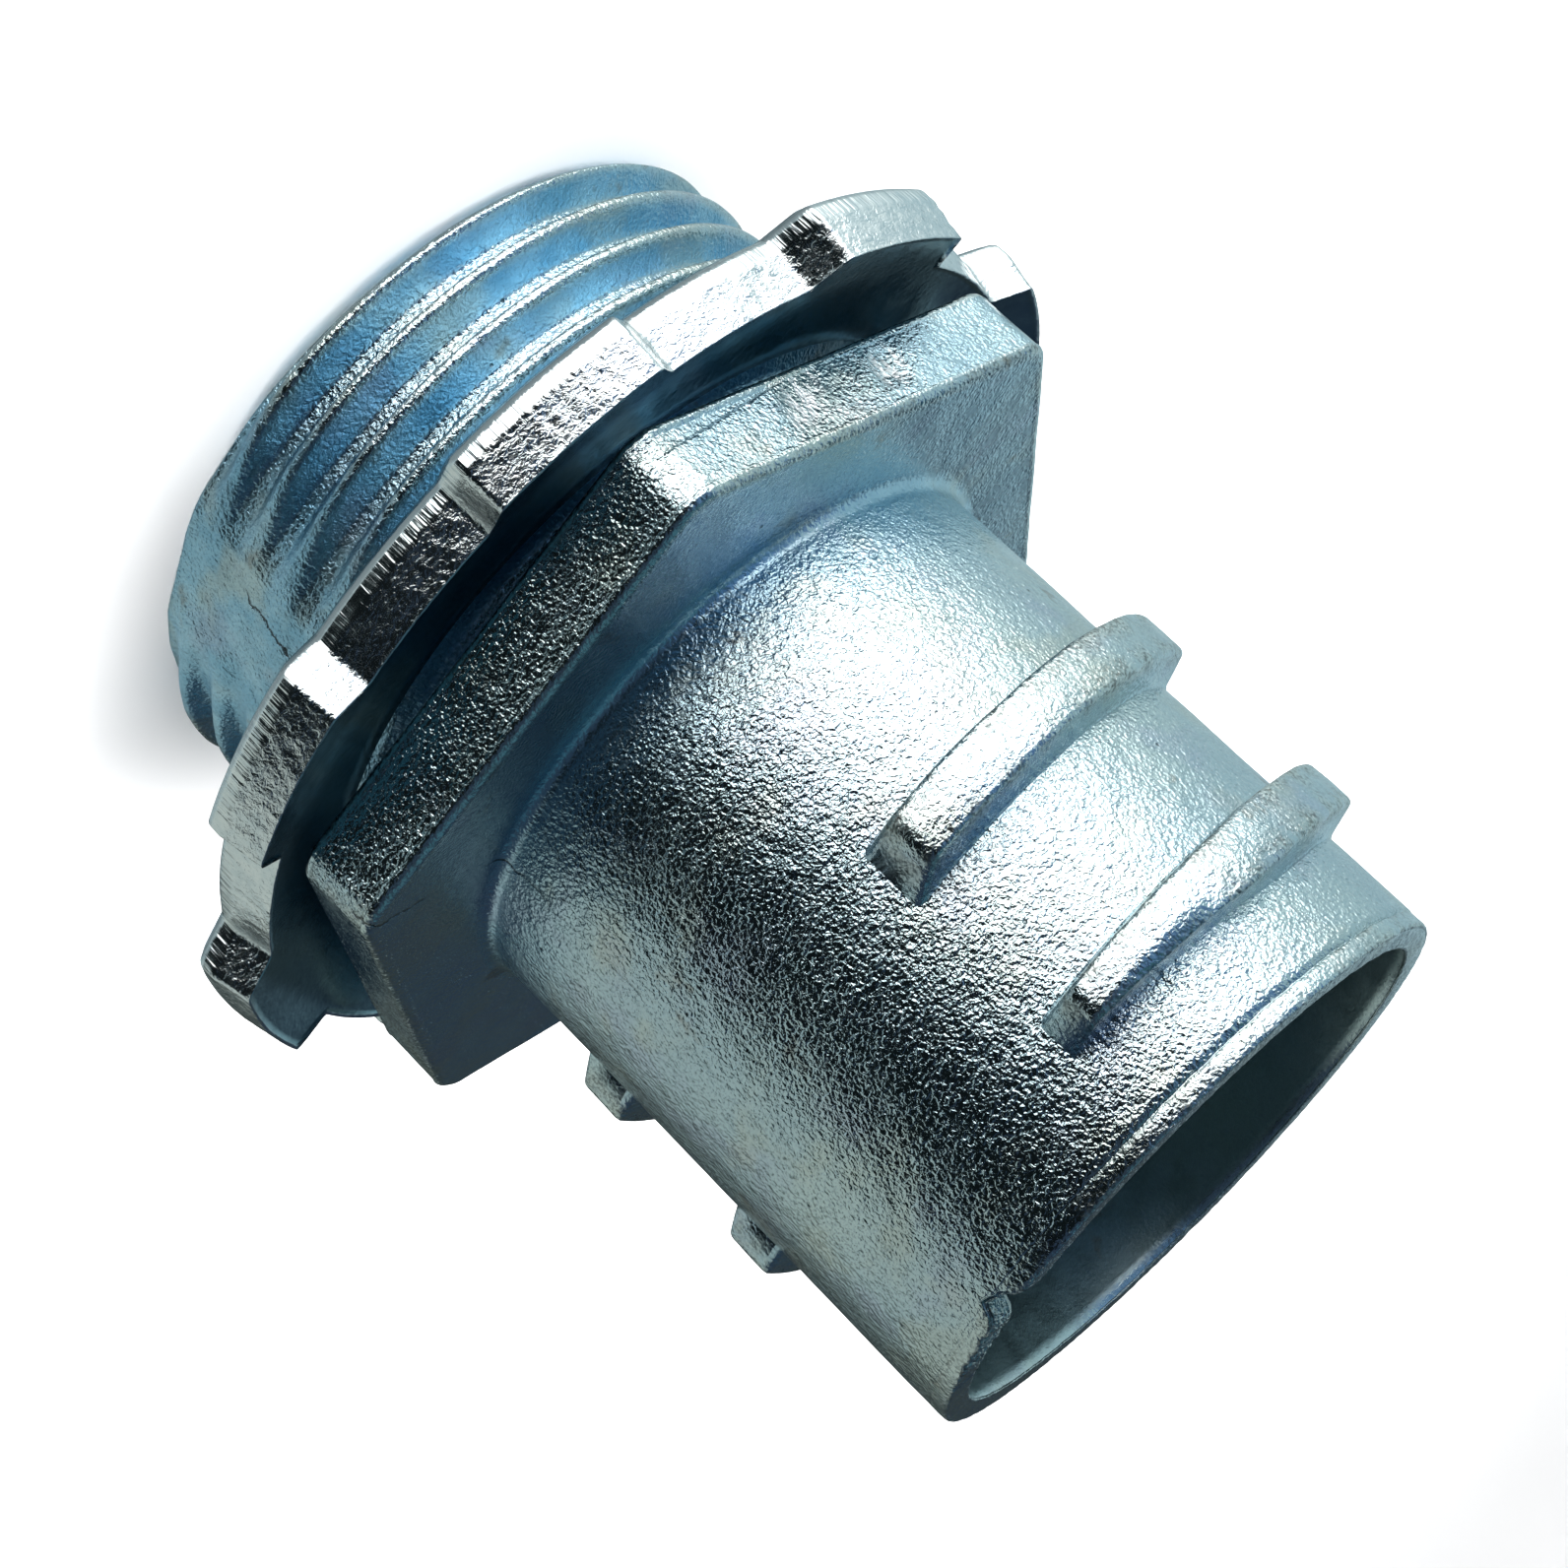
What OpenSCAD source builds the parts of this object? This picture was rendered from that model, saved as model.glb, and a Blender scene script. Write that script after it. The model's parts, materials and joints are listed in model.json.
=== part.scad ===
// Screw-in connector for flexible metal conduit, one inch size.
// A zinc casting with a male thread, a hexagon flange and a ribbed spigot,
// and the stamped steel locknut that runs on its thread.
// The origin is the centre of the flange's seating face. +Z points up the spigot.

/* [Spigot] */
// Outside diameter of the plain spigot (mm)
spigot_d = 27.8; // [20:0.1:40]
// Length of the spigot above the flange (mm)
spigot_len = 27.3; // [15:0.1:50]
// Diameter of the hole through the whole connector (mm)
bore_d = 25; // [15:0.1:35]
// Bevel on the outer edge of the spigot's mouth (mm)
mouth_bevel = 0.3; // [0:0.05:1]
// Radius of the fillet where the spigot meets the flange (mm)
root_fillet = 0.6; // [0.2:0.1:2]

/* [Ribs] */
// Rise of the conduit's spiral in one turn (mm)
rib_pitch = 9.3; // [5:0.1:15]
// How far a rib stands out of the spigot (mm)
rib_h = 1.7; // [0.5:0.1:3]
// Width of a rib at its foot (mm)
rib_foot_w = 2.9; // [1:0.1:6]
// Width of a rib at its top (mm)
rib_top_w = 2.5; // [1:0.1:6]
// Distance between the two end faces of a rib (mm)
rib_span = 19.3; // [10:0.1:27]
// Height of the lowest front rib's middle above the seating face (mm)
front_rib_z = 16.2; // [8:0.1:25]
// Height of the plane that trims the last rib (mm)
rib_trim_z = 26.9; // [20:0.1:35]
// How far a rib's foot reaches into the spigot's wall (mm)
rib_embed = 0.8; // [0.2:0.1:1.2]

/* [Flange] */
// Hexagon width across the flats (mm)
flange_af = 37.3; // [25:0.1:50]
// Thickness of the flange (mm)
flange_h = 4; // [2:0.1:8]
// Diameter that rounds the hexagon's corners (mm)
corner_d = 42.4; // [30:0.1:60]
// Bevel around the flange on its thread side (mm)
flange_bevel = 0.5; // [0:0.1:2]

/* [Thread] */
// Crest diameter of the male thread (mm)
thread_d = 33.2; // [20:0.1:50]
// Root diameter of the male thread (mm)
root_d = 30.3; // [18:0.1:48]
// Pitch of the thread (mm)
thread_pitch = 2.309; // [1:0.001:4]
// Length from the seating face to the thread's end (mm)
thread_len = 15.3; // [8:0.1:30]
// Width across the two flats where the mould halves part (mm)
thread_flats = 30.6; // [20:0.1:50]
// Bevel on the thread's end (mm)
end_bevel = 0.9; // [0:0.1:2]
// Length of the plain neck between the thread and the flange (mm)
neck_len = 1.6; // [0.5:0.1:4]
// How far the neck lies under the thread's root (mm)
neck_relief = 0.2; // [0.1:0.1:1]

/* [Locknut] */
// Diameter over the lugs (mm)
nut_d = 47.2; // [35:0.1:70]
// Thickness of the stamped sheet (mm)
nut_t = 3; // [1.5:0.1:5]
// Diameter of the locknut's hole, just clear of the thread crests (mm)
nut_bore_d = 33.36; // [20:0.01:50]
// Diameter of the flat middle, inside the dished rim (mm)
nut_flat_d = 39; // [34:0.1:60]
// Slope of the dished rim (degrees)
nut_dish = 17.5; // [0:0.5:30]
// Number of lugs
lug_count = 8; // [4:1:12]
// Angle a lug's tip takes up (degrees)
lug_tip_angle = 20; // [10:1:40]
// Depth of the notches between the lugs (mm)
notch_depth = 1.8; // [0.5:0.1:4]
// Slope of a lug's sides (degrees from straight out)
lug_side_slope = 40; // [0:1:60]
// Turn of the locknut on its thread (degrees)
nut_turn = -10.5; // [-180:0.5:180]
// Gap between the seated locknut and the flange (mm)
nut_gap = 0.3; // [0.1:0.1:10]
// How far the torn part of the sheared rim slopes in (mm)
nut_tear = 0.3; // [0:0.05:0.8]
// Rolled edge of the rim on the side away from the flange (mm)
nut_roll = 0.3; // [0.1:0.05:1]
// Bevel at both ends of the locknut's hole (mm)
nut_bore_bevel = 0.4; // [0.1:0.1:1]

/* [Hidden] */
$fn = 96;
eps = 0.01;
cut = 1;
spigot_r = spigot_d / 2;
top_z = flange_h + spigot_len;
rib_r = spigot_r + rib_h;
rib_slope = atan(rib_pitch / (PI * spigot_d));
crest_r = thread_d / 2;
root_r = root_d / 2;
turn_steps = 48;
crest_edge = thread_pitch * 0.08;
root_edge = thread_pitch * 0.38;
thread_lead = 143;
nut_tip_r = nut_d / 2;
nut_flat_r = nut_flat_d / 2;
nut_drop = (nut_tip_r - nut_flat_r) * tan(nut_dish);
nut_bore_r = nut_bore_d / 2;
nut_tear_h = nut_t * 0.6;
nut_floor_r = nut_tip_r - notch_depth;
notch_half = 180 / lug_count - lug_tip_angle / 2;
steel = [0.72, 0.75, 0.78];
zinc = [0.60, 0.66, 0.71];

// One rib: a slice of a ring, tipped to follow the conduit's spiral.
module rib(z, side) {
    intersection() {
        translate([0, 0, z])
            rotate([0, -side * rib_slope, 0])
                rotate_extrude()
                    polygon([
                        [spigot_r - rib_embed, -rib_foot_w / 2],
                        [spigot_r, -rib_foot_w / 2],
                        [rib_r, -rib_top_w / 2],
                        [rib_r, rib_top_w / 2],
                        [spigot_r, rib_foot_w / 2],
                        [spigot_r - rib_embed, rib_foot_w / 2]
                    ]);
        translate([-rib_span / 2, side > 0 ? -2 * spigot_r : 0, flange_h])
            cube([rib_span, 2 * spigot_r, rib_trim_z - flange_h]);
    }
}

// The ribs of the front half and of the back half, half a pitch apart.
module ribs() {
    for (turn = [0, 1])
        rib(front_rib_z + turn * rib_pitch, 1);
    for (turn = [-0.5, 0.5])
        rib(front_rib_z + turn * rib_pitch, -1);
}

// The hexagon flange, with rounded corners and a bevel on its thread side.
module flange() {
    intersection() {
        cylinder(h = flange_h, r = flange_af / 2 / cos(30), $fn = 6);
        rotate_extrude()
            polygon([
                [0, 0],
                [corner_d / 2 - flange_bevel, 0],
                [corner_d / 2, flange_bevel],
                [corner_d / 2, flange_h],
                [0, flange_h]
            ]);
    }
}

// The outside of the spigot, with its fillet and the bevel at its mouth.
module spigot() {
    rotate_extrude()
        difference() {
            polygon([
                [0, eps],
                [spigot_r + root_fillet, eps],
                [spigot_r + root_fillet, flange_h + root_fillet],
                [spigot_r, flange_h + root_fillet],
                [spigot_r, top_z - mouth_bevel],
                [spigot_r - mouth_bevel, top_z],
                [0, top_z]
            ]);
            translate([spigot_r + root_fillet, flange_h + root_fillet])
                circle(r = root_fillet);
        }
}

// The threaded length before it is trimmed: crests and roots wound as one screw surface.
module thread_blank() {
    steps = turn_steps * ceil(thread_len / thread_pitch + 3);
    low_z = -thread_len - 2 * thread_pitch;
    high_z = low_z + thread_pitch * steps / turn_steps;
    function limit(r, z) = min(r, crest_r - end_bevel + max(z + thread_len, 0));
    function spot(i, r, dz) =
        let (a = thread_lead + 360 * i / turn_steps, z = low_z + thread_pitch * i / turn_steps + dz)
        [limit(r, z) * cos(a), limit(r, z) * sin(a), z];
    section = [[root_r, -root_edge], [crest_r, -crest_edge], [crest_r, crest_edge], [root_r, root_edge]];
    points = [for (i = [0 : steps], p = section) spot(i, p[0], p[1])];
    bottom = len(points);
    top = bottom + 1;
    last = steps - turn_steps;
    flanks = [
        for (i = [0 : steps - 1], k = [0 : 2])
            let (a = 4 * i + k)
            for (face = [[a, a + 1, a + 4], [a + 1, a + 5, a + 4]])
                face
    ];
    roots = [
        for (i = [0 : last - 1])
            let (a = 4 * i + 3, b = 4 * (i + turn_steps))
            for (face = [[a, b, a + 4], [b, b + 4, a + 4]])
                face
    ];
    low_edge = concat([for (i = [0 : turn_steps]) 4 * i], [3, 2, 1]);
    high_edge = concat([for (i = [last : steps]) 4 * i + 3], [for (k = [2 : -1 : 0]) 4 * steps + k]);
    caps = concat(
        [for (i = [0 : len(low_edge) - 1]) [bottom, low_edge[i], low_edge[(i + 1) % len(low_edge)]]],
        [for (i = [0 : len(high_edge) - 1]) [top, high_edge[(i + 1) % len(high_edge)], high_edge[i]]]
    );
    polyhedron(
        concat(points, [[0, 0, low_z - thread_pitch], [0, 0, high_z + thread_pitch]]),
        concat(flanks, roots, caps),
        convexity = 10
    );
}

// The male thread, trimmed at both ends and at the parting flats, and its neck under the flange.
module male_thread() {
    intersection() {
        thread_blank();
        translate([-thread_flats / 2, -thread_d, -thread_len])
            cube([thread_flats, 2 * thread_d, thread_len - neck_len]);
    }
    translate([0, 0, -2 * neck_len])
        cylinder(h = 2 * neck_len + flange_h / 2, r = root_r - neck_relief);
}

module connector_body() {
    color(zinc)
        difference() {
            union() {
                spigot();
                ribs();
                flange();
                male_thread();
            }
            translate([0, 0, -thread_len - cut])
                cylinder(h = thread_len + top_z + 2 * cut, d = bore_d);
        }
}

// The gap between two lugs, down to the notch's round floor.
module notch() {
    floor_half = nut_tip_r * sin(notch_half) - notch_depth * tan(lug_side_slope);
    floor_x = nut_tip_r * cos(notch_half) - notch_depth;
    reach = notch_depth + cut;
    low_z = -nut_gap - nut_t - nut_drop - cut;
    height = nut_t + nut_drop + 2 * cut;
    difference() {
        translate([0, 0, low_z])
            linear_extrude(height)
                polygon([
                    [floor_x, -floor_half],
                    [floor_x + reach, -floor_half - reach * tan(lug_side_slope)],
                    [floor_x + reach, floor_half + reach * tan(lug_side_slope)],
                    [floor_x, floor_half]
                ]);
        translate([0, 0, low_z - cut])
            cylinder(h = height + 2 * cut, r = nut_floor_r);
    }
}

module locknut() {
    top = -nut_gap;
    flat_top = top - nut_drop;
    color(steel)
        difference() {
            rotate_extrude()
                polygon([
                    [nut_bore_r + nut_bore_bevel, flat_top],
                    [nut_flat_r, flat_top],
                    [nut_tip_r - nut_tear, top],
                    [nut_tip_r, top - nut_tear_h],
                    [nut_tip_r, top - nut_t + nut_roll],
                    [nut_tip_r - nut_roll, top - nut_t],
                    [nut_flat_r, flat_top - nut_t],
                    [nut_bore_r + nut_bore_bevel, flat_top - nut_t],
                    [nut_bore_r, flat_top - nut_t + nut_bore_bevel],
                    [nut_bore_r, flat_top - nut_bore_bevel]
                ]);
            for (i = [0 : lug_count - 1])
                rotate(nut_turn + (i + 0.5) * 360 / lug_count)
                    notch();
        }
}

connector_body();
locknut();
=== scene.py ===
"""A one inch screw-in connector for flexible metal conduit, with its locknut, on a pale studio floor."""
import json
import math

import bpy
import numpy as np
from mathutils import Matrix, Vector, noise


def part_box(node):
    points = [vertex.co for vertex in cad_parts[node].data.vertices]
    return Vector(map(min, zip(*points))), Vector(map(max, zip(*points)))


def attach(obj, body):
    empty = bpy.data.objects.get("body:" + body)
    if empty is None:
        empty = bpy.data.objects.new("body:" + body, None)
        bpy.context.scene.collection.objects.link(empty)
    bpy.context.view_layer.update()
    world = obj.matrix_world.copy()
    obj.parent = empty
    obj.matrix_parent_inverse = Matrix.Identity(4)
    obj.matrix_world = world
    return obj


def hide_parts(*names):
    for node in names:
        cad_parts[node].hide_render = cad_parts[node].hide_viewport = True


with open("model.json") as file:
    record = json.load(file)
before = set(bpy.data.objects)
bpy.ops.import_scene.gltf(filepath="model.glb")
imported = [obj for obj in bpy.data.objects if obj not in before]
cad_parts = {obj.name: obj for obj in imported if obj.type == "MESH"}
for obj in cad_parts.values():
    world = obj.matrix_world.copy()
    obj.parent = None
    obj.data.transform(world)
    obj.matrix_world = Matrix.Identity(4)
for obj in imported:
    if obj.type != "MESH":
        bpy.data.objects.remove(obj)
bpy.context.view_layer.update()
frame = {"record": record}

MM = 0.001

# ---------------------------------------------------------------- sizes read from the frame, in metres
body_low, body_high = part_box("connector_body")
nut_low, nut_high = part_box("locknut")
mounts = {mount["name"]: mount for mount in frame["record"]["mounts"]}
bore_r = mounts["wire_bore"]["dims"]["r_mm"] * MM
spigot_r = mounts["conduit_spigot"]["dims"]["r_mm"] * MM
crest_r = mounts["box_hole_thread"]["dims"]["r_mm"] * MM
flange_top = 2 * mounts["spanner_flat_back"]["pos_m"][2]
mouth_z = body_high.z
end_z = body_low.z
corner_r = body_high.x
half_flats = body_high.y
nut_tip_r = nut_high.x

# ---------------------------------------------------------------- sizes of the casting, in metres
casting_columns = 600

root_r = 15.15 * MM
thread_pitch = 2.309 * MM
thread_lead = math.radians(-45.5)
lead_crest_z = end_z + 1.1 * MM
thread_top = -1.6 * MM
thread_run_out = 1.2 * MM
half_parting = 15.3 * MM
end_bevel = 0.9 * MM
neck_r = root_r - 0.2 * MM

low_round = 0.45 * MM
top_round = 0.42 * MM
fillet = 0.55 * MM
lip_h = 0.95 * MM

rib_r = spigot_r + 1.7 * MM
rib_pitch = 9.3 * MM
rib_foot_w = 2.9 * MM
rib_top_w = 2.5 * MM
rib_edge_round = 0.28 * MM
rib_end_round = 0.32 * MM
rib_lean = 0.08 * MM
half_rib_span = 9.65 * MM
front_rib_z = 16.2 * MM
rib_trim_z = 26.9 * MM

# ---------------------------------------------------------------- sizes of the locknut, in metres
nut_columns = 960

nut_bore_r = 16.68 * MM
nut_bore_bevel = 0.4 * MM
nut_groove_depth = 0.6 * MM
nut_flat_r = 19.5 * MM
nut_slope = math.tan(math.radians(17.5))
nut_t = 3.0 * MM
nut_roll = 0.42 * MM
torn_part = 0.62
torn_slope = 0.42 * MM
lug_count = 8
nut_turn = math.radians(-10.5)
notch_depth = 1.8 * MM
lug_side = math.tan(math.radians(40))
lug_tip_half = math.radians(10)
lug_corner_round = 0.3 * MM


# ---------------------------------------------------------------- mesh tools
def wobble(points, size, seed, octaves=1):
    """Smooth noise between -1 and 1 at each point, with lumps of that size."""
    shift = Vector((seed * 7.31, seed * 3.17, seed * 5.53))
    spots = (np.asarray(points) / size + np.array(shift)).tolist()
    if octaves == 1:
        return np.fromiter((noise.noise(p) for p in spots), float, len(spots))
    return np.fromiter((noise.fractal(p, 1.0, 2.0, octaves) for p in spots), float, len(spots))


def smooth_min(a, b, k):
    """The smaller of a and b, with the corner between them rounded over k."""
    return np.minimum(a, b) - np.maximum(k - np.abs(a - b), 0) ** 2 / (4 * k)


def smooth_max(a, b, k):
    """The larger of a and b, with the corner between them rounded over k."""
    return -smooth_min(-a, -b, k)


def smooth_step(gone, full, x):
    """0 where x is at gone or past it, 1 at full or past it, and smooth between; gone may be the larger."""
    t = np.clip((x - gone) / (full - gone), 0, 1)
    return t * t * (3 - 2 * t)


def arc(*degrees):
    """The steps of a rounded edge, as the sine and the cosine of each angle."""
    return [(math.sin(a), math.cos(a)) for a in np.radians(degrees)]


def grid_normals(grid):
    """Outward normals of a grid of points that is closed both ways."""
    along = np.roll(grid, -1, 0) - np.roll(grid, 1, 0)
    around = np.roll(grid, -1, 1) - np.roll(grid, 1, 1)
    n = np.cross(around, along)
    return n / np.maximum(np.linalg.norm(n, axis=2, keepdims=True), 1e-12)


def ring_mesh(name, grid, marks):
    """A closed ring of quads through a grid of points, with a named value per point for each mark."""
    rows, columns = grid.shape[:2]
    index = np.arange(rows * columns).reshape(rows, columns)
    right = np.roll(index, -1, 1)
    quads = np.stack([index, right, np.roll(right, -1, 0), np.roll(index, -1, 0)], -1).reshape(-1, 4)
    mesh = bpy.data.meshes.new(name)
    mesh.vertices.add(rows * columns)
    mesh.vertices.foreach_set("co", grid.reshape(-1))
    mesh.loops.add(quads.size)
    mesh.loops.foreach_set("vertex_index", quads.reshape(-1))
    mesh.polygons.add(len(quads))
    mesh.polygons.foreach_set("loop_start", np.arange(0, quads.size, 4))
    mesh.update(calc_edges=True)
    add_marks(mesh, marks)
    return show_mesh(name, mesh)


def strip_faces(rings, count):
    """Quads between neighbouring rings of count points each."""
    faces = []
    for i in range(rings - 1):
        for k in range(count):
            a = i * count + k
            b = i * count + (k + 1) % count
            faces.append((a, b, b + count, a + count))
    return faces


def add_marks(mesh, marks):
    """Stores values on the points, which the materials read by name."""
    for mark, values in marks.items():
        layer = mesh.attributes.new(mark, "FLOAT", "POINT")
        layer.data.foreach_set("value", np.asarray(values, np.float32).reshape(-1))


def show_mesh(name, mesh):
    """Shades a mesh smooth and puts it in the scene."""
    mesh.polygons.foreach_set("use_smooth", np.ones(len(mesh.polygons), bool))
    mesh.update()
    obj = bpy.data.objects.new(name, mesh)
    bpy.context.scene.collection.objects.link(obj)
    return obj


class Profile:
    """The rows of a ring. Each number of a row is one value, or one value per column round the ring."""

    def __init__(self, columns, names):
        self.angle = 2 * math.pi * np.arange(columns) / columns
        self.names = names
        self.rows = []

    def row(self, r, z, **marks):
        """Adds a row by its radius, its height and its marks. Marks that are left out are 0."""
        level = np.ones_like(self.angle)
        values = [r, z] + [marks.get(name, 0) for name in self.names]
        self.rows.append([value * level for value in values])

    def grid(self):
        """The points, and a value per point for each mark."""
        data = np.array(self.rows)
        r, z = data[:, 0], data[:, 1]
        points = np.stack([r * np.cos(self.angle), r * np.sin(self.angle), z], -1)
        return points, {name: data[:, 2 + i] for i, name in enumerate(self.names)}


# ---------------------------------------------------------------- the casting
# Its marks are grain, the depth of the cast skin; wear, of rubbed edges; seam, where the mould's parting
# line may show; lumps, the unevenness of the surface; film, the blue tint, and at -1 the bore's dull colour
# with painted shade darkening it; and chips, the bright knocks on the flange.
def off_parting(angle):
    """Degrees from where the mould halves part."""
    return np.degrees(np.abs(np.mod(angle + math.pi / 2, math.pi) - math.pi / 2))


def thread_turns(angle, z):
    """How many turns of the thread a place is from its nearest crest, from 0 to a half."""
    turns = (z - lead_crest_z) / thread_pitch - (angle - thread_lead) / (2 * math.pi)
    return np.abs(turns - np.round(turns))


def thread_outline(angle, z):
    """Radius of the cast thread: rounded crests, wide roots, and flats where the mould halves part."""
    rise = smooth_step(0.40, 0.05, thread_turns(angle, z)) ** 1.1
    fade = smooth_step(thread_top, thread_top - thread_run_out, z)
    r = root_r + (crest_r - root_r) * rise * fade
    flat = half_parting / np.maximum(np.abs(np.cos(angle)), 0.5)
    r = smooth_min(r, flat + 0.12 * MM, 0.9 * MM)
    on_flat = smooth_step(46, 2, off_parting(angle)) * fade
    r = r + (np.minimum(flat, root_r + 0.45 * MM) - r) * on_flat
    return smooth_min(r, crest_r - end_bevel + np.maximum(z - end_z, 0), 0.3 * MM)


def end_face_rows(p):
    """The face at the thread's end, from the bore outwards."""
    inner_r = bore_r + 0.35 * MM
    outer_r = thread_outline(p.angle, end_z + 0.02 * MM) - 0.15 * MM
    for t in (0.0, 0.12, 0.4, 0.7, 0.9, 0.97):
        p.row(inner_r + (outer_r - inner_r) * t, end_z, grain=0.5, wear=0.3, lumps=0.4)


def thread_rows(p):
    """The thread, from its end to the neck: blue roots, and bare crests away from the parting flats."""
    away = smooth_step(10, 42, off_parting(p.angle))
    low = end_z + 0.05 * MM
    for t in np.linspace(0, 1, 119):
        z = low + (thread_top - low) * t
        r = thread_outline(p.angle, z)
        crest = smooth_step(crest_r - 0.35 * MM, crest_r - 0.05 * MM, r)
        film = smooth_step(crest_r - 0.02 * MM, crest_r - 0.40 * MM, r)
        film = film * smooth_step(root_r - 0.1 * MM, root_r + 0.2 * MM, r)
        film = 0.85 + (film - 0.85) * away
        p.row(r, z, grain=1, wear=0.3 * crest * away, lumps=5 - 4.4 * away, film=film)


def seat_rows(p, edge):
    """The plain neck, and the flange's seating face out to its edge."""
    for z in (-1.3, -0.9, -0.5, -0.25):
        p.row(neck_r, z * MM, grain=0.5, seam=1, lumps=0.3, film=1)
    p.row(neck_r + 0.1 * MM, -0.08 * MM, grain=0.5, seam=1, lumps=0.2, film=1)
    for t in (0.04, 0.3, 0.6, 0.85):
        p.row(neck_r + (edge - neck_r - 0.5 * MM) * t, 0, grain=0.5, seam=1, lumps=0.2, film=1)


def flange_outline(angle):
    """Radius of the hexagon, with worn round corners."""
    off_flat = np.mod(angle, math.pi / 3) - math.pi / 6
    return smooth_min(half_flats / np.cos(off_flat), corner_r, 0.15 * MM)


def knock(turn, rise, at, half, lean):
    """1 inside a knocked spot of the flange's side and 0 outside it; the spot leans as it rises."""
    across = (turn - at[0] - lean * rise) / half[0]
    up = (rise - at[1]) / half[1]
    return np.exp(-across ** 4 - up ** 4)


def flange_rows(p, edge):
    """The hexagon's sides between their rounded edges, its top face, and the fillet at the spigot's foot."""
    turn = np.degrees(np.mod(p.angle + math.pi, 2 * math.pi) - math.pi)
    one_side = smooth_step(-121, -119, turn)
    tinted = smooth_step(-61, -66, turn) * one_side
    stained = 0.5 + 0.5 * smooth_step(-84, -98, turn) * one_side
    battered = np.exp(-(turn / 1.8) ** 2)
    for sine, cosine in arc(0, 22, 45, 68, 90):
        r = edge - low_round * (1 - sine)
        p.row(r, low_round * (1 - cosine), grain=0.8, wear=2 * sine * cosine, seam=1, lumps=0.6)

    for t in np.linspace(0.02, 0.98, 31):
        z = low_round + (flange_top - low_round - top_round) * t
        rise = z / MM
        ledge = smooth_step(0.06, -0.06, rise - 1.45 - (turn + 61) * 0.045)
        ledge = ledge * smooth_step(-60.5, -62, turn)
        chips = knock(turn, rise, at=(-85.5, 1.7), half=(3.0, 1.2), lean=2)
        chips = chips + knock(turn, rise, at=(-99.5, 1.9), half=(2.4, 0.9), lean=1)
        r = edge - (0.04 + 0.13 * ledge + 0.08 * chips) * MM
        grain = 1 + 1.2 * battered
        lumps = 1 + battered + chips
        p.row(r, z, grain=grain, wear=battered, seam=1, lumps=lumps, film=0.3 * tinted, chips=chips)

    for sine, cosine in arc(0, 18, 36, 54, 72, 90):
        r = edge - top_round * (1 - cosine)
        z = flange_top - top_round * (1 - sine)
        p.row(r, z, grain=0.8, wear=2 * stained * sine * cosine, seam=1, lumps=0.8)

    outer = edge - top_round
    inner = spigot_r + fillet
    film = 0.35 - 0.15 * smooth_step(-110, -60, turn)
    for t in np.linspace(0.06, 0.97, 18):
        p.row(outer + (inner - outer) * t, flange_top, grain=0.5, seam=1, lumps=0.6, film=film)
    for sine, cosine in arc(0, 22, 45, 68, 90):
        z = flange_top + fillet * (1 - cosine)
        p.row(inner - fillet * sine, z, grain=0.6, seam=1, lumps=0.3, film=0.5)


def spigot_rows(p):
    """The spigot's plain side. The tint and the seam fade out above its foot."""
    low = flange_top + fillet
    for t in np.linspace(0.012, 0.985, 84):
        z = low + (mouth_z - lip_h - low) * t
        p.row(spigot_r, z, grain=1, seam=max(0.15, 1 - 9 * t), lumps=1, film=0.5 * (1 - min(1, t * 5)))


def mouth_rows(p):
    """The thin lip at the spigot's mouth: a fine broken groove, a narrow band and a crisp chipped rim."""
    turn = np.degrees(p.angle)
    round_about = np.stack([np.cos(p.angle), np.sin(p.angle), 0 * p.angle], -1) * spigot_r
    ragged = wobble(round_about, 0.8 * MM, seed=4, octaves=2)
    nick = np.exp(-((turn - 352) / 3.0) ** 2)
    chipped = np.exp(-(((turn + 180) % 360 - 178) / 16) ** 2)
    lost = 0.05 + (0.7 + 0.5 * ragged) * nick + (0.04 + 0.32 * chipped) * np.abs(ragged)
    top = mouth_z - lost * MM
    groove = 0.10 * MM * smooth_step(335, 300, turn) * smooth_step(150, 170, turn)
    band = groove * 0.3
    lip_z = mouth_z - lip_h + 0.05 * MM * ragged

    def lip_row(depth, rise, under, **marks):
        """A row of the lip at its own height, or as far under the rim where the nick cuts lower."""
        z = np.minimum(lip_z + rise * MM, top - under * MM)
        p.row(spigot_r - depth, z, **marks)

    lip_row(0, -0.03, 0.30, grain=1, wear=0.2, lumps=0.8)
    lip_row(groove, 0.02, 0.28, grain=0.8, wear=0.2, lumps=0.4)
    lip_row(groove, 0.07, 0.26, grain=0.8, wear=0.2, lumps=0.4)
    lip_row(band, 0.12, 0.24, grain=0.9, wear=0.7, lumps=0.4)
    lip_row(band, 0.36, 0.22, grain=0.7, wear=0.4, lumps=0.4)

    p.row(spigot_r - 0.02 * MM, top - 0.20 * MM, grain=0.7 + 2 * nick, wear=0.5, lumps=0.3)
    p.row(spigot_r - 0.05 * MM, top - 0.08 * MM, grain=0.8, wear=0.9, lumps=0.3)
    p.row(spigot_r - 0.12 * MM, top - 0.02 * MM, grain=1.2, wear=1, lumps=0.3)
    grain = 0.7 + 1.3 * chipped + 3 * nick
    for t in (0.02, 0.3, 0.6, 0.95):
        r = spigot_r - 0.2 * MM + (bore_r + 0.35 * MM - spigot_r) * t
        # film -nick gives the nick's face the bore's darkened colour, painted shade in the break
        p.row(r, top, grain=grain, wear=chipped, lumps=0.3, film=-nick)
    p.row(bore_r + 0.06 * MM, top - 0.02 * MM, grain=1.2, wear=1, lumps=0.3)
    p.row(bore_r, top - 0.09 * MM, grain=0.3, wear=0.3, lumps=0.3)


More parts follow.
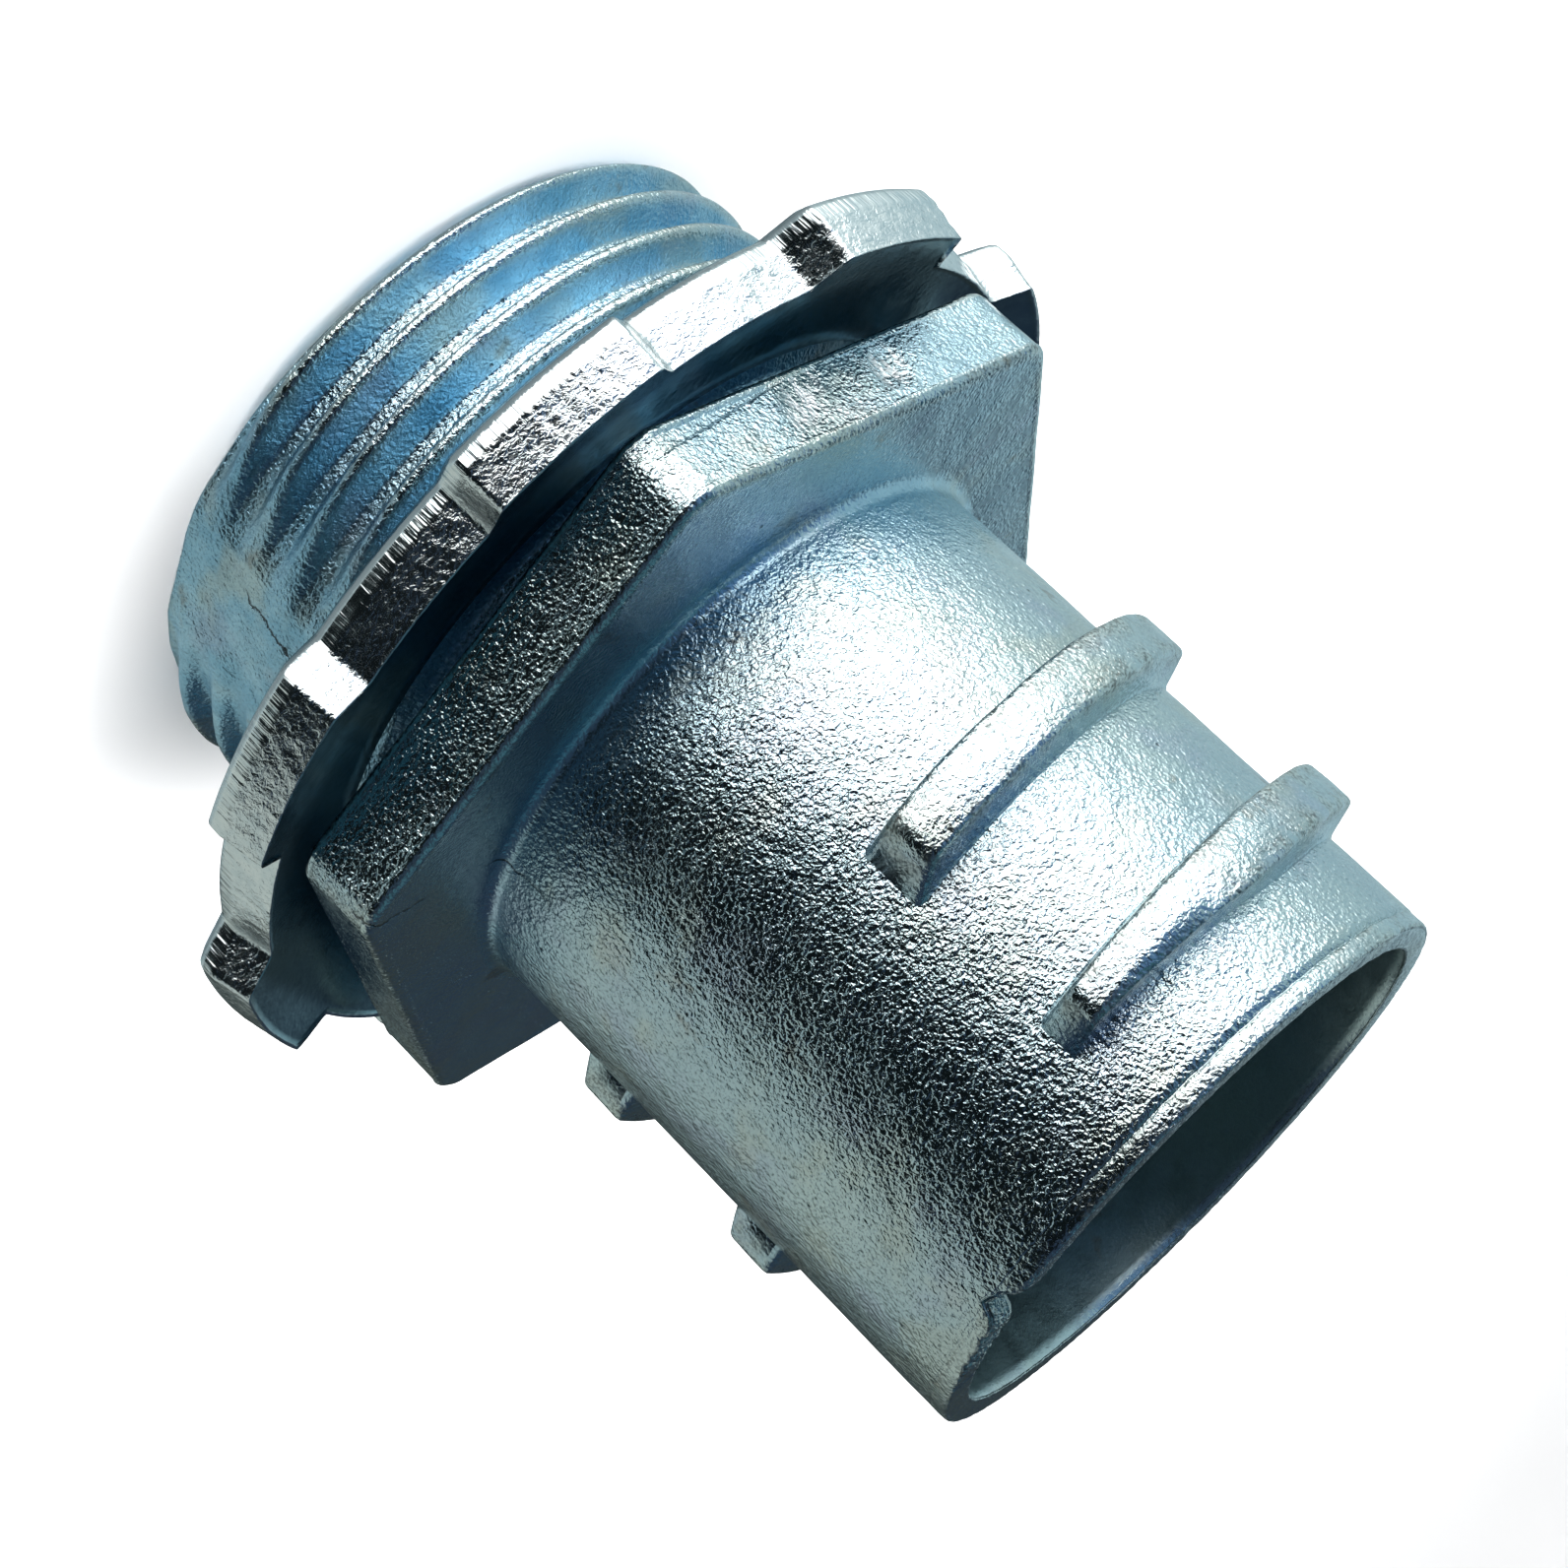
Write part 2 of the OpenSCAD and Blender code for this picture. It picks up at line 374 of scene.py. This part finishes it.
def bore_rows(p):
    """The smooth bore, from the mouth down to the thread's end, dull and darkened as painted shade."""
    for t in np.linspace(0.01, 0.99, 46):
        z = mouth_z - 0.3 * MM + (end_z - mouth_z + 0.6 * MM) * t
        p.row(bore_r, z, grain=0.12, lumps=0.5, film=-1)
    p.row(bore_r + 0.05 * MM, end_z + 0.15 * MM, grain=0.4, lumps=0.3)
    p.row(bore_r + 0.2 * MM, end_z + 0.02 * MM, grain=0.4, wear=0.2, lumps=0.3)


def casting_shell():
    """The casting without its ribs, with the slight unevenness of a die casting."""
    p = Profile(casting_columns, ("grain", "wear", "seam", "lumps", "film", "chips"))
    edge = flange_outline(p.angle)
    end_face_rows(p)
    thread_rows(p)
    seat_rows(p, edge)
    flange_rows(p, edge)
    spigot_rows(p)
    mouth_rows(p)
    bore_rows(p)
    grid, marks = p.grid()
    flat = grid.reshape(-1, 3)
    uneven = 0.035 * wobble(flat, 5.0 * MM, seed=1) + 0.018 * wobble(flat, 1.6 * MM, seed=2)
    uneven = uneven.reshape(grid.shape[:2]) * marks.pop("lumps") * MM
    grid = grid + grid_normals(grid) * uneven[..., None]
    grid[..., 2] = np.clip(grid[..., 2], end_z, mouth_z)
    return ring_mesh("connector_casting", grid, marks)


def rib_section(inset):
    """Closed outline of a rib, as (radius, height) points, drawn in by inset except at its foot."""
    foot = rib_foot_w / 2 - inset
    top = rib_top_w / 2 - inset
    crest = rib_r - inset
    side = [
        (spigot_r - 0.6 * MM, foot),
        (spigot_r - 0.05 * MM, foot + 0.16 * MM),
        (spigot_r + 0.07 * MM, foot + 0.05 * MM),
        (spigot_r + 0.2 * MM, foot - 0.01 * MM),
        (spigot_r + 0.8 * MM, (foot + top) / 2),
    ]
    for sine, cosine in arc(0, 30, 60, 90):
        side.append((crest - rib_edge_round * (1 - sine), top - rib_edge_round * (1 - cosine)))
    lower = [(r, -z) for r, z in side]
    return side + [(crest + 0.02 * MM, 0)] + lower[::-1]


def rib_ring(t, a, middle_angle, middle_z):
    """One section of a rib, at t from -1 to 1 along it and at angle a round the edge of its end face."""
    span = (half_rib_span - rib_end_round) * t + math.copysign(rib_end_round * math.sin(a), t)
    ring = []
    for r, z in rib_section(rib_end_round * (1 - math.cos(a))):
        lean = rib_lean * max(r - spigot_r, 0) / (rib_r - spigot_r)
        turn = math.asin(max(-0.95, min(0.95, (span - lean * t) / r)))
        height = min(middle_z + z + rib_pitch * turn / (2 * math.pi), rib_trim_z)
        angle = middle_angle + turn
        ring.append((r * math.cos(angle), r * math.sin(angle), height))
    return ring


def rib_mesh(name, middle_angle, middle_z):
    """One cast rib that follows the conduit's spiral, with square end faces and rounded edges."""
    stations = [(-1, math.radians(a)) for a in (90, 60, 30)]
    stations += [(t, 0) for t in np.linspace(-1, 1, 72)]
    stations += [(1, math.radians(a)) for a in (30, 60, 90)]
    grid = np.array([rib_ring(t, a, middle_angle, middle_z) for t, a in stations])
    rings, count = grid.shape[:2]
    flat = grid.reshape(-1, 3)
    r = np.hypot(flat[:, 0], flat[:, 1])
    push = (0.05 * wobble(flat, 2.2 * MM, seed=6) + 0.03 * wobble(flat, 0.9 * MM, seed=7)) * MM
    push = push * (r > spigot_r + 0.1 * MM)
    out = flat * np.array([1, 1, 0]) / r[:, None]
    flat = flat + out * push[:, None]
    flat[:, 2] += 0.04 * MM * wobble(flat, 1.8 * MM, seed=8)

    faces = strip_faces(rings, count)
    faces.append(tuple(range(count))[::-1])
    faces.append(tuple(range((rings - 1) * count, rings * count)))
    mesh = bpy.data.meshes.new(name)
    mesh.from_pydata(flat.tolist(), [], faces)

    height = (np.hypot(flat[:, 0], flat[:, 1]) - spigot_r) / (rib_r - spigot_r)
    spot = np.arange(len(flat)) % count
    on_edge = ((spot >= 5) & (spot <= 8)) | ((spot >= 10) & (spot <= 13))
    marks = {
        "grain": np.full(len(flat), 0.8),
        "wear": np.where(on_edge, 1.0, 0.15) * (height > 0.5),
        "seam": np.zeros(len(flat)),
        "film": 0.2 * (height < 0.8),
    }
    add_marks(mesh, marks)
    return show_mesh(name, mesh)


def join(objects):
    """Makes the first object out of all of them."""
    bpy.ops.object.select_all(action="DESELECT")
    for obj in objects:
        obj.select_set(True)
    bpy.context.view_layer.objects.active = objects[0]
    bpy.ops.object.join()
    return objects[0]


def make_casting():
    """The whole casting. The back ribs are half a pitch out of step with the front ones."""
    ribs = []
    for side, middle, turns in (("front", -90, (0, 1)), ("back", 90, (-0.5, 0.5))):
        for turn in turns:
            name = f"{side}_rib_{len(ribs)}"
            ribs.append(rib_mesh(name, math.radians(middle), front_rib_z + turn * rib_pitch))
    return join([casting_shell()] + ribs)


# ---------------------------------------------------------------- the locknut
# Its marks are sheared, which is 1 on the cut edge; depth, from 1 at the edge's flange side down to 0; and
# wear, of the bright edges.
def lug_outline(angle):
    """Radius of the locknut's edge: lugs with sloping sides and round notch floors."""
    step = 2 * math.pi / lug_count
    off_notch = np.abs(np.mod(angle - nut_turn, step) - step / 2)
    tip_off = step / 2 - lug_tip_half
    floor_half = nut_tip_r * math.sin(tip_off) - notch_depth * lug_side
    floor_x = nut_tip_r * math.cos(tip_off) - notch_depth
    wall = (floor_half - floor_x * lug_side) / (np.sin(off_notch) - lug_side * np.cos(off_notch))
    r = smooth_max(wall, nut_tip_r - notch_depth, lug_corner_round)
    return smooth_min(r, nut_tip_r, lug_corner_round)


def dish(r):
    """Height of the locknut's flange side: a flat middle and a rim that rises outwards."""
    rise = smooth_max(r - nut_flat_r, 0 * r, 1.2 * MM) * nut_slope
    return nut_high.z - (nut_tip_r - nut_flat_r) * nut_slope + rise


def locknut_rows(p):
    """The locknut's section: out over its flange side, down the sheared edge, back in and up the hole."""
    edge = lug_outline(p.angle)
    collar = nut_bore_r + nut_bore_bevel
    for t in (0, 0.15, 0.35, 0.5, 0.6, 0.7, 0.8, 0.88, 0.94, 0.98):
        r = collar + (edge - 0.52 * MM - collar) * t
        p.row(r, dish(r) - 0.01 * MM, depth=1)

    top = dish(edge)
    p.row(edge - 0.48 * MM, top - 0.02 * MM, sheared=0.4, depth=1, wear=1)
    for t in np.linspace(0.03, torn_part, 8):
        r = edge - 0.02 * MM - torn_slope * (1 - t / torn_part)
        p.row(r, top - nut_t * t, sheared=1, depth=1 - t)
    for t in np.linspace(0.68, 1 - nut_roll / nut_t, 5):
        p.row(edge, top - nut_t * t, sheared=1, depth=1 - t)
    for a in np.radians([25, 50, 75]):
        r = edge - nut_roll * (1 - math.cos(a))
        z = top - nut_t + nut_roll * (1 - math.sin(a))
        p.row(r, z, sheared=1 - a, wear=0.6)

    inner_edge = edge - nut_roll
    for t in (0.02, 0.06, 0.12, 0.2, 0.3, 0.4, 0.5, 0.65, 0.85, 1.0):
        r = inner_edge + (collar - inner_edge) * t
        p.row(r, dish(r) - nut_t)

    low = nut_low.z + nut_bore_bevel
    high = dish(np.array([collar]))[0] - nut_bore_bevel
    for t in np.linspace(0, 1, 22):
        z = low + (high - low) * t
        groove = smooth_step(0.45, 0.1, thread_turns(p.angle, z))
        run_out = min(1, 6 * t, 6 - 6 * t)
        p.row(nut_bore_r + nut_groove_depth * groove * run_out, z, depth=0.5)
    p.rows.reverse()


def make_locknut():
    """The stamped locknut, its sheared edge torn on the flange side, and its rim very slightly bent."""
    p = Profile(nut_columns, ("sheared", "depth", "wear"))
    locknut_rows(p)
    grid, marks = p.grid()
    shape = grid.shape[:2]
    flat = grid.reshape(-1, 3)
    sheared = marks["sheared"]
    rough = wobble(flat * np.array([1, 1, 1.6]), 0.5 * MM, seed=11, octaves=3).reshape(shape)
    tear = sheared * smooth_step(0.3, 0.42, marks["depth"]) * np.minimum(rough - 0.2, 0)
    bend = 0.10 * MM * wobble(flat, 12 * MM, seed=12).reshape(shape)
    bend = bend * smooth_step(nut_flat_r, nut_tip_r, np.hypot(grid[..., 0], grid[..., 1]))
    sway = sheared * wobble(flat, 1.3 * MM, seed=13, octaves=2).reshape(shape)
    push = (0.06 * tear + 0.02 * (sway - 1.6 * sheared)) * MM
    grid = grid + grid_normals(grid) * push[..., None]
    grid[..., 2] = np.clip(grid[..., 2] + bend, nut_low.z, nut_high.z)
    return ring_mesh("locknut_stamping", grid, marks)


# ---------------------------------------------------------------- materials
class Shader:
    """A node material, with short calls for the nodes that these metals use."""

    def __init__(self, name):
        self.material = bpy.data.materials.new(name)
        self.material.use_nodes = True
        self.tree = self.material.node_tree
        self.tree.nodes.clear()
        self.output = self.node("ShaderNodeOutputMaterial")
        self.surface = self.node("ShaderNodeBsdfPrincipled")
        self.link(self.surface.outputs[0], self.output.inputs["Surface"])
        self.spot = self.node("ShaderNodeTexCoord").outputs["Object"]

    def node(self, kind, **settings):
        """A new node with these settings."""
        made = self.tree.nodes.new(kind)
        for key, value in settings.items():
            setattr(made, key, value)
        return made

    def link(self, start, end):
        """Joins an output to an input, or sets the input to a plain value."""
        if hasattr(start, "is_linked"):
            self.tree.links.new(start, end)
        else:
            end.default_value = start

    def math(self, operation, a, b=0.0):
        """One calculation on two values."""
        made = self.node("ShaderNodeMath", operation=operation)
        self.link(a, made.inputs[0])
        self.link(b, made.inputs[1])
        return made.outputs[0]

    def times(self, first, *others):
        """All the values multiplied together."""
        for other in others:
            first = self.math("MULTIPLY", first, other)
        return first

    def plus(self, first, *others):
        """All the values added up."""
        for other in others:
            first = self.math("ADD", first, other)
        return first

    def place(self, size, stretch=(1, 1, 1)):
        """The spot on the object, counted in steps of that size."""
        made = self.node("ShaderNodeMapping")
        self.link(self.spot, made.inputs["Vector"])
        made.inputs["Scale"].default_value = [s / size for s in stretch]
        return made.outputs[0]

    def noise(self, size, detail=2.0, roughness=0.5, distortion=0.0, stretch=(1, 1, 1)):
        """Noise between 0 and 1 with lumps of about that size, in metres."""
        place = self.place(size, stretch)
        made = self.node("ShaderNodeTexNoise")
        self.link(place, made.inputs["Vector"])
        made.inputs["Scale"].default_value = 1.0
        made.inputs["Detail"].default_value = detail
        made.inputs["Roughness"].default_value = roughness
        made.inputs["Distortion"].default_value = distortion
        return made.outputs["Fac"]

    def cells(self, size):
        """Distance from the middle of the nearest of many scattered cells of about that size."""
        place = self.place(size)
        made = self.node("ShaderNodeTexVoronoi")
        self.link(place, made.inputs["Vector"])
        made.inputs["Scale"].default_value = 1.0
        return made.outputs["Distance"]

    def mark(self, name):
        """A value stored on the mesh."""
        return self.node("ShaderNodeAttribute", attribute_name=name).outputs["Fac"]

    def fade(self, value, low, high, start=0.0, end=1.0):
        """start where value is under low, end where it is over high, smooth between."""
        made = self.node("ShaderNodeMapRange", interpolation_type="SMOOTHSTEP")
        for key, plug in zip(("From Min", "From Max", "To Min", "To Max"), (low, high, start, end)):
            made.inputs[key].default_value = plug
        self.link(value, made.inputs["Value"])
        return made.outputs["Result"]

    def mix(self, amount, a, b):
        """Colour a turning into colour b."""
        made = self.node("ShaderNodeMix", data_type="RGBA")
        self.link(amount, made.inputs[0])
        self.link(a, made.inputs[6])
        self.link(b, made.inputs[7])
        return made.outputs[2]

    def bump(self, height, depth, under=None):
        """A normal tilted by a height of that depth, on top of another bump where one is given."""
        made = self.node("ShaderNodeBump")
        made.inputs["Strength"].default_value = 1.0
        made.inputs["Distance"].default_value = depth
        self.link(height, made.inputs["Height"])
        if under is not None:
            self.link(under, made.inputs["Normal"])
        return made.outputs[0]


def rgb(r, g, b):
    """An opaque colour."""
    return (r, g, b, 1.0)


def casting_colour(m, film, bore):
    """Grey zinc with drifting violet and olive tints, blue where there is film, and in the bore a dull colour
    darkened as painted shade.
    """
    drift = m.noise(9 * MM)
    colour = m.mix(m.fade(drift, 0.35, 0.65), rgb(0.52, 0.63, 0.67), rgb(0.58, 0.67, 0.67))
    depth = m.noise(2.5 * MM, detail=3)
    blue = m.mix(m.fade(depth, 0.3, 0.7), rgb(0.27, 0.54, 0.72), rgb(0.45, 0.71, 0.86))
    colour = m.mix(m.math("MAXIMUM", film, 0.0), colour, blue)
    violet = m.noise(4 * MM, detail=3)
    colour = m.mix(m.fade(violet, 0.52, 0.70, 0, 0.4), colour, rgb(0.50, 0.53, 0.66))
    olive = m.noise(5 * MM, detail=3, stretch=(1, 1, 1.4))
    colour = m.mix(m.fade(olive, 0.50, 0.66, 0, 0.45), colour, rgb(0.60, 0.61, 0.52))
    # painted shade: the bore and the nick at the mouth take a darker dull grey-teal
    colour = m.mix(bore, colour, rgb(0.36, 0.45, 0.45))
    speck = m.noise(0.2 * MM, detail=3)
    return m.mix(m.fade(speck, 0.55, 0.8, 0, 0.45), colour, rgb(0.25, 0.33, 0.40))


def seam_and_crack(m):
    """The mould's broken parting line where the seam mark allows it, and a crack in the thread's flat."""
    axes = m.node("ShaderNodeSeparateXYZ")
    m.link(m.spot, axes.inputs[0])
    wander = m.times(m.math("SUBTRACT", m.noise(1.1 * MM, detail=4), 0.5), 1.1 * MM)
    off_seam = m.math("ABSOLUTE", m.plus(axes.outputs["Y"], wander))
    line = m.fade(off_seam, 0.03 * MM, 0.09 * MM, 1, 0)
    broken = m.fade(m.noise(3.0 * MM), 0.45, 0.55)
    line = m.times(line, broken, m.mark("seam"))

    along = m.plus(axes.outputs["Z"], 9.6 * MM)
    drawn = m.plus(axes.outputs["Y"], 1.3 * MM, m.times(along, -0.25), m.times(wander, 1.7))
    crack = m.fade(m.math("ABSOLUTE", drawn), 0.03 * MM, 0.10 * MM, 1, 0)
    near_middle = m.fade(m.math("ABSOLUTE", along), 1.4 * MM, 2.0 * MM, 1, 0)
    near_side = m.fade(axes.outputs["X"], 0.0, 1 * MM)
    return line, m.times(crack, near_middle, near_side)


def zinc_casting():
    """Blue passivated zinc casting: fine grain, drifting tints, worn edges, chips, pits and a mould seam."""
    m = Shader("zinc_casting")
    film = m.mark("film")
    # bore is 1 where the film mark is -1: the dull bore and the nick, darkened as painted shade
    bore = m.math("MAXIMUM", m.times(film, -1.0), 0.0)
    colour = casting_colour(m, film, bore)

    patina = m.times(m.mark("wear"), m.fade(m.noise(1.2 * MM, detail=4), 0.35, 0.6))
    spotted = m.fade(m.noise(0.16 * MM, detail=3), 0.38, 0.56)
    worn = m.mix(spotted, rgb(0.14, 0.13, 0.11), rgb(0.72, 0.76, 0.72))
    colour = m.mix(m.times(patina, 0.75), colour, worn)
    dashes = m.noise(0.34 * MM, stretch=(1, 1, 0.35))
    chips = m.times(m.mark("chips"), m.fade(dashes, 0.46, 0.52))
    colour = m.mix(chips, colour, rgb(0.97, 0.98, 0.98))
    line, crack = seam_and_crack(m)
    colour = m.mix(m.times(line, 0.85), colour, rgb(0.05, 0.05, 0.05))
    colour = m.mix(m.times(crack, 0.9), colour, rgb(0.03, 0.03, 0.03))
    stain = m.fade(m.noise(2.6 * MM, detail=4), 0.66, 0.74, 0, 0.55)
    colour = m.mix(stain, colour, rgb(0.30, 0.25, 0.19))
    pit = m.times(m.fade(m.cells(2.3 * MM), 0.02, 0.05, 1, 0), m.math("SUBTRACT", 1.0, bore))
    colour = m.mix(m.times(pit, 0.7), colour, rgb(0.07, 0.08, 0.09))
    m.link(colour, m.surface.inputs["Base Color"])
    m.surface.inputs["Metallic"].default_value = 1.0

    rough = m.fade(m.noise(1.1 * MM, detail=3), 0.3, 0.7, 0.11, 0.21)
    rough = m.plus(rough, m.times(m.math("ABSOLUTE", film), 0.24))
    rough = m.plus(rough, m.times(m.math("MAXIMUM", patina, chips), 0.2))
    m.link(rough, m.surface.inputs["Roughness"])

    worms = m.noise(0.19 * MM, detail=1.5, distortion=0.4)
    swell = m.noise(0.9 * MM, detail=1)
    skin = m.times(m.plus(worms, m.times(swell, 0.8)), m.mark("grain"))
    sunk = m.plus(pit, m.math("MAXIMUM", line, crack), m.times(chips, 0.5))
    hollows = m.bump(sunk, -0.05 * MM)
    m.link(m.bump(skin, 0.085 * MM, under=hollows), m.surface.inputs["Normal"])
    return m.material


def zinc_plated_steel():
    """Stamped and plated steel: satin faces painted dark teal as shade, a shear band with drag lines, and a
    rough torn zone.
    """
    m = Shader("zinc_plated_steel")
    sheared = m.mark("sheared")
    depth = m.mark("depth")
    # painted shade: every face of the locknut except its sheared edge is painted a dark teal, the shade it
    # sits in under the flange
    face = m.mix(m.fade(m.noise(7 * MM), 0.35, 0.65), rgb(0.15, 0.25, 0.29), rgb(0.22, 0.34, 0.38))
    mottle = m.fade(m.noise(0.8 * MM, detail=3), 0.3, 0.7)
    edge = m.mix(mottle, rgb(0.72, 0.76, 0.77), rgb(0.84, 0.85, 0.84))
    colour = m.mix(sheared, face, edge)
    colour = m.mix(m.times(m.mark("wear"), 0.7), colour, rgb(0.85, 0.87, 0.87))
    m.link(colour, m.surface.inputs["Base Color"])
    m.surface.inputs["Metallic"].default_value = 1.0
    rough = m.fade(m.noise(0.9 * MM, detail=3), 0.3, 0.7, 0.16, 0.27)
    m.link(rough, m.surface.inputs["Roughness"])

    fine_zone = m.times(sheared, m.fade(depth, 0.30, 0.42, 1, 0))
    torn_zone = m.times(sheared, m.fade(depth, 0.30, 0.42))
    torn = m.noise(0.28 * MM, roughness=0.6, distortion=0.6, stretch=(1, 1, 1.3))
    drag = m.noise(0.22 * MM, stretch=(1, 1, 0.08))
    satin = m.noise(0.30 * MM)
    height = m.plus(m.times(torn, torn_zone, 0.8), m.times(drag, fine_zone, 1.1), m.times(satin, 0.15))
    m.link(m.bump(height, 0.07 * MM), m.surface.inputs["Normal"])
    return m.material


def floor_paint():
    """Matt pale studio floor."""
    m = Shader("pale_floor")
    tone = m.fade(m.noise(0.12), 0.3, 0.7)
    m.link(m.mix(tone, rgb(0.86, 0.865, 0.87), rgb(0.89, 0.89, 0.89)), m.surface.inputs["Base Color"])
    m.surface.inputs["Roughness"].default_value = 0.9
    return m.material


# ---------------------------------------------------------------- studio
def toward(turn, lift):
    """Unit vector at an angle from +X round +Z and an angle above the horizon, in degrees."""
    turn, lift = math.radians(turn), math.radians(lift)
    return Vector((math.cos(turn) * math.cos(lift), math.sin(turn) * math.cos(lift), math.sin(lift)))


def make_floor():
    """A round floor that curves up into a pale wall far away."""
    flat_r = 0.60
    curve_r = 0.30
    wall_h = 1.1
    count = 96
    outline = [(1e-4, 0.0), (flat_r / 2, 0.0), (flat_r, 0.0)]
    for sine, cosine in arc(15, 30, 45, 60, 75, 90):
        outline.append((flat_r + curve_r * sine, curve_r * (1 - cosine)))
    outline.append((flat_r + curve_r, wall_h))
    points = []
    for r, z in outline:
        for i in range(count):
            a = 2 * math.pi * i / count
            points.append((r * math.cos(a), r * math.sin(a), end_z + z))
    mesh = bpy.data.meshes.new("studio_floor")
    mesh.from_pydata(points, [], strip_faces(len(outline), count))
    floor = show_mesh("studio_floor", mesh)
    floor.data.materials.append(floor_paint())
    floor.visible_glossy = False


def soft_lamp(name, turn, lift, distance, size, watts):
    """A square soft box that lights the floor evenly and that the metal doesn't mirror."""
    lamp = bpy.data.lights.new(name, "AREA")
    lamp.shape = "SQUARE"
    lamp.size = size
    lamp.energy = watts
    obj = bpy.data.objects.new(name, lamp)
    bpy.context.scene.collection.objects.link(obj)
    back = toward(turn, lift)
    obj.location = back * distance
    obj.rotation_mode = "QUATERNION"
    obj.rotation_quaternion = back.to_track_quat("Z", "Y")
    obj.visible_glossy = False
    obj.visible_camera = False


def studio_world():
    """What the metal mirrors: a pale table, a dark room above it, and soft patches of window and wall."""
    world = bpy.data.worlds.new("studio_world")
    bpy.context.scene.world = world
    world.use_nodes = True
    world.cycles_visibility.diffuse = False
    tree = world.node_tree
    tree.nodes.clear()

    def math_node(operation, *values):
        """One calculation on up to three values."""
        made = tree.nodes.new("ShaderNodeMath")
        made.operation = operation
        for value, plug in zip(values, made.inputs):
            if hasattr(value, "is_linked"):
                tree.links.new(value, plug)
            else:
                plug.default_value = value
        return made.outputs[0]

    axes = tree.nodes.new("ShaderNodeSeparateXYZ")
    tree.links.new(tree.nodes.new("ShaderNodeTexCoord").outputs["Generated"], axes.inputs[0])
    turn = math_node("DEGREES", math_node("ARCTAN2", axes.outputs["Y"], axes.outputs["X"]))
    lift = math_node("DEGREES", math_node("ARCSINE", axes.outputs["Z"]))

    def fade(value, gone, full):
        """0 where value is at gone or past it, 1 at full or past it, smooth between."""
        made = tree.nodes.new("ShaderNodeMapRange")
        made.interpolation_type = "SMOOTHSTEP"
        tree.links.new(value, made.inputs["Value"])
        made.inputs["From Min"].default_value = gone
        made.inputs["From Max"].default_value = full
        return made.outputs["Result"]

    def paint(under, colour, amount):
        """A colour painted over what is under it."""
        made = tree.nodes.new("ShaderNodeMix")
        made.data_type = "RGBA"
        tree.links.new(amount, made.inputs[0])
        if hasattr(under, "is_linked"):
            tree.links.new(under, made.inputs[6])
        else:
            made.inputs[6].default_value = under
        made.inputs[7].default_value = colour
        return made.outputs[2]

    def patch(at_turn, at_lift, half_turn, half_lift, soft):
        """A soft oval in the room: its middle, its half sizes in degrees and how soft its edge is."""
        across = math_node("WRAP", math_node("SUBTRACT", turn, at_turn), 180, -180)
        across = math_node("DIVIDE", across, half_turn)
        up = math_node("DIVIDE", math_node("SUBTRACT", lift, at_lift), half_lift)
        reach = math_node("ADD", math_node("MULTIPLY", across, across), math_node("MULTIPLY", up, up))
        return fade(math_node("SQRT", reach), 1 + soft, 1 - soft)

    dark_room = rgb(0.035, 0.055, 0.085)
    pale_table = rgb(0.52, 0.66, 0.69)
    near_table = rgb(0.28, 0.34, 0.36)
    blue_wall = rgb(0.14, 0.26, 0.46)
    ceiling = rgb(0.07, 0.17, 0.22)
    dim_window = rgb(0.46, 0.54, 0.52)
    dark_door = rgb(0.05, 0.065, 0.065)
    pale_wall = rgb(0.47, 0.64, 0.69)
    black_card = rgb(0.006, 0.009, 0.010)
    side_glow = rgb(0.85, 1.00, 1.02)
    white_panel = rgb(3.0, 3.1, 3.1)
    camera_side = rgb(0.010, 0.014, 0.016)
    room = paint(dark_room, pale_table, fade(lift, -7, -15))
    room = paint(room, near_table, fade(lift, -35, -60))
    room = paint(room, blue_wall, patch(-125, 20, 52, 40, 0.4))
    room = paint(room, ceiling, fade(lift, 45, 70))
    room = paint(room, dim_window, patch(62, -14, 36, 32, 0.3))
    room = paint(room, dark_door, patch(114, -8, 28, 30, 0.25))
    room = paint(room, pale_wall, patch(193, 8, 55, 36, 0.12))
    room = paint(room, black_card, patch(-6, -12, 35, 30, 0.15))
    room = paint(room, side_glow, patch(-138, -24, 26, 20, 0.4))
    room = paint(room, white_panel, patch(-88, -24, 46, 29, 0.12))
    room = paint(room, camera_side, patch(-53, 0, 22, 14, 0.2))
    shade = tree.nodes.new("ShaderNodeBackground")
    tree.links.new(room, shade.inputs["Color"])
    out = tree.nodes.new("ShaderNodeOutputWorld")
    tree.links.new(shade.outputs[0], out.inputs["Surface"])


def make_camera():
    """Looks down on the spigot's mouth from the side, rolled so that the spigot points to the lower right."""
    turn, lift, roll = -45.5, 17.68, math.radians(134.06)
    distance = 122.0 * MM
    height = 46.1 * MM
    ahead = -toward(turn, lift)
    level = ahead.cross(Vector((0, 0, 1))).normalized()
    above = level.cross(ahead)
    right = math.cos(roll) * level + math.sin(roll) * above
    up = -math.sin(roll) * level + math.cos(roll) * above
    camera = bpy.data.cameras.new("camera")
    camera.sensor_width = 36
    camera.lens = 68.5
    camera.clip_start = 0.005
    obj = bpy.data.objects.new("camera", camera)
    bpy.context.scene.collection.objects.link(obj)
    turned = Matrix((right, up, -ahead)).transposed().to_4x4()
    place = Vector((0, 0, height)) + distance * toward(turn, 0)
    obj.matrix_world = Matrix.Translation(place) @ turned
    bpy.context.scene.camera = obj


# ---------------------------------------------------------------- put together
casting = make_casting()
casting.data.materials.clear()
casting.data.materials.append(zinc_casting())
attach(casting, "fitting")
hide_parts("connector_body")

locknut = make_locknut()
locknut.data.materials.append(zinc_plated_steel())
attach(locknut, "nut")
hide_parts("locknut")

make_camera()
make_floor()
soft_lamp("overhead_panel", turn=-60, lift=70, distance=0.45, size=0.7, watts=9.0)
soft_lamp("side_panel", turn=150, lift=45, distance=0.6, size=0.4, watts=3.0)
studio_world()
bpy.context.scene.view_settings.view_transform = "Standard"
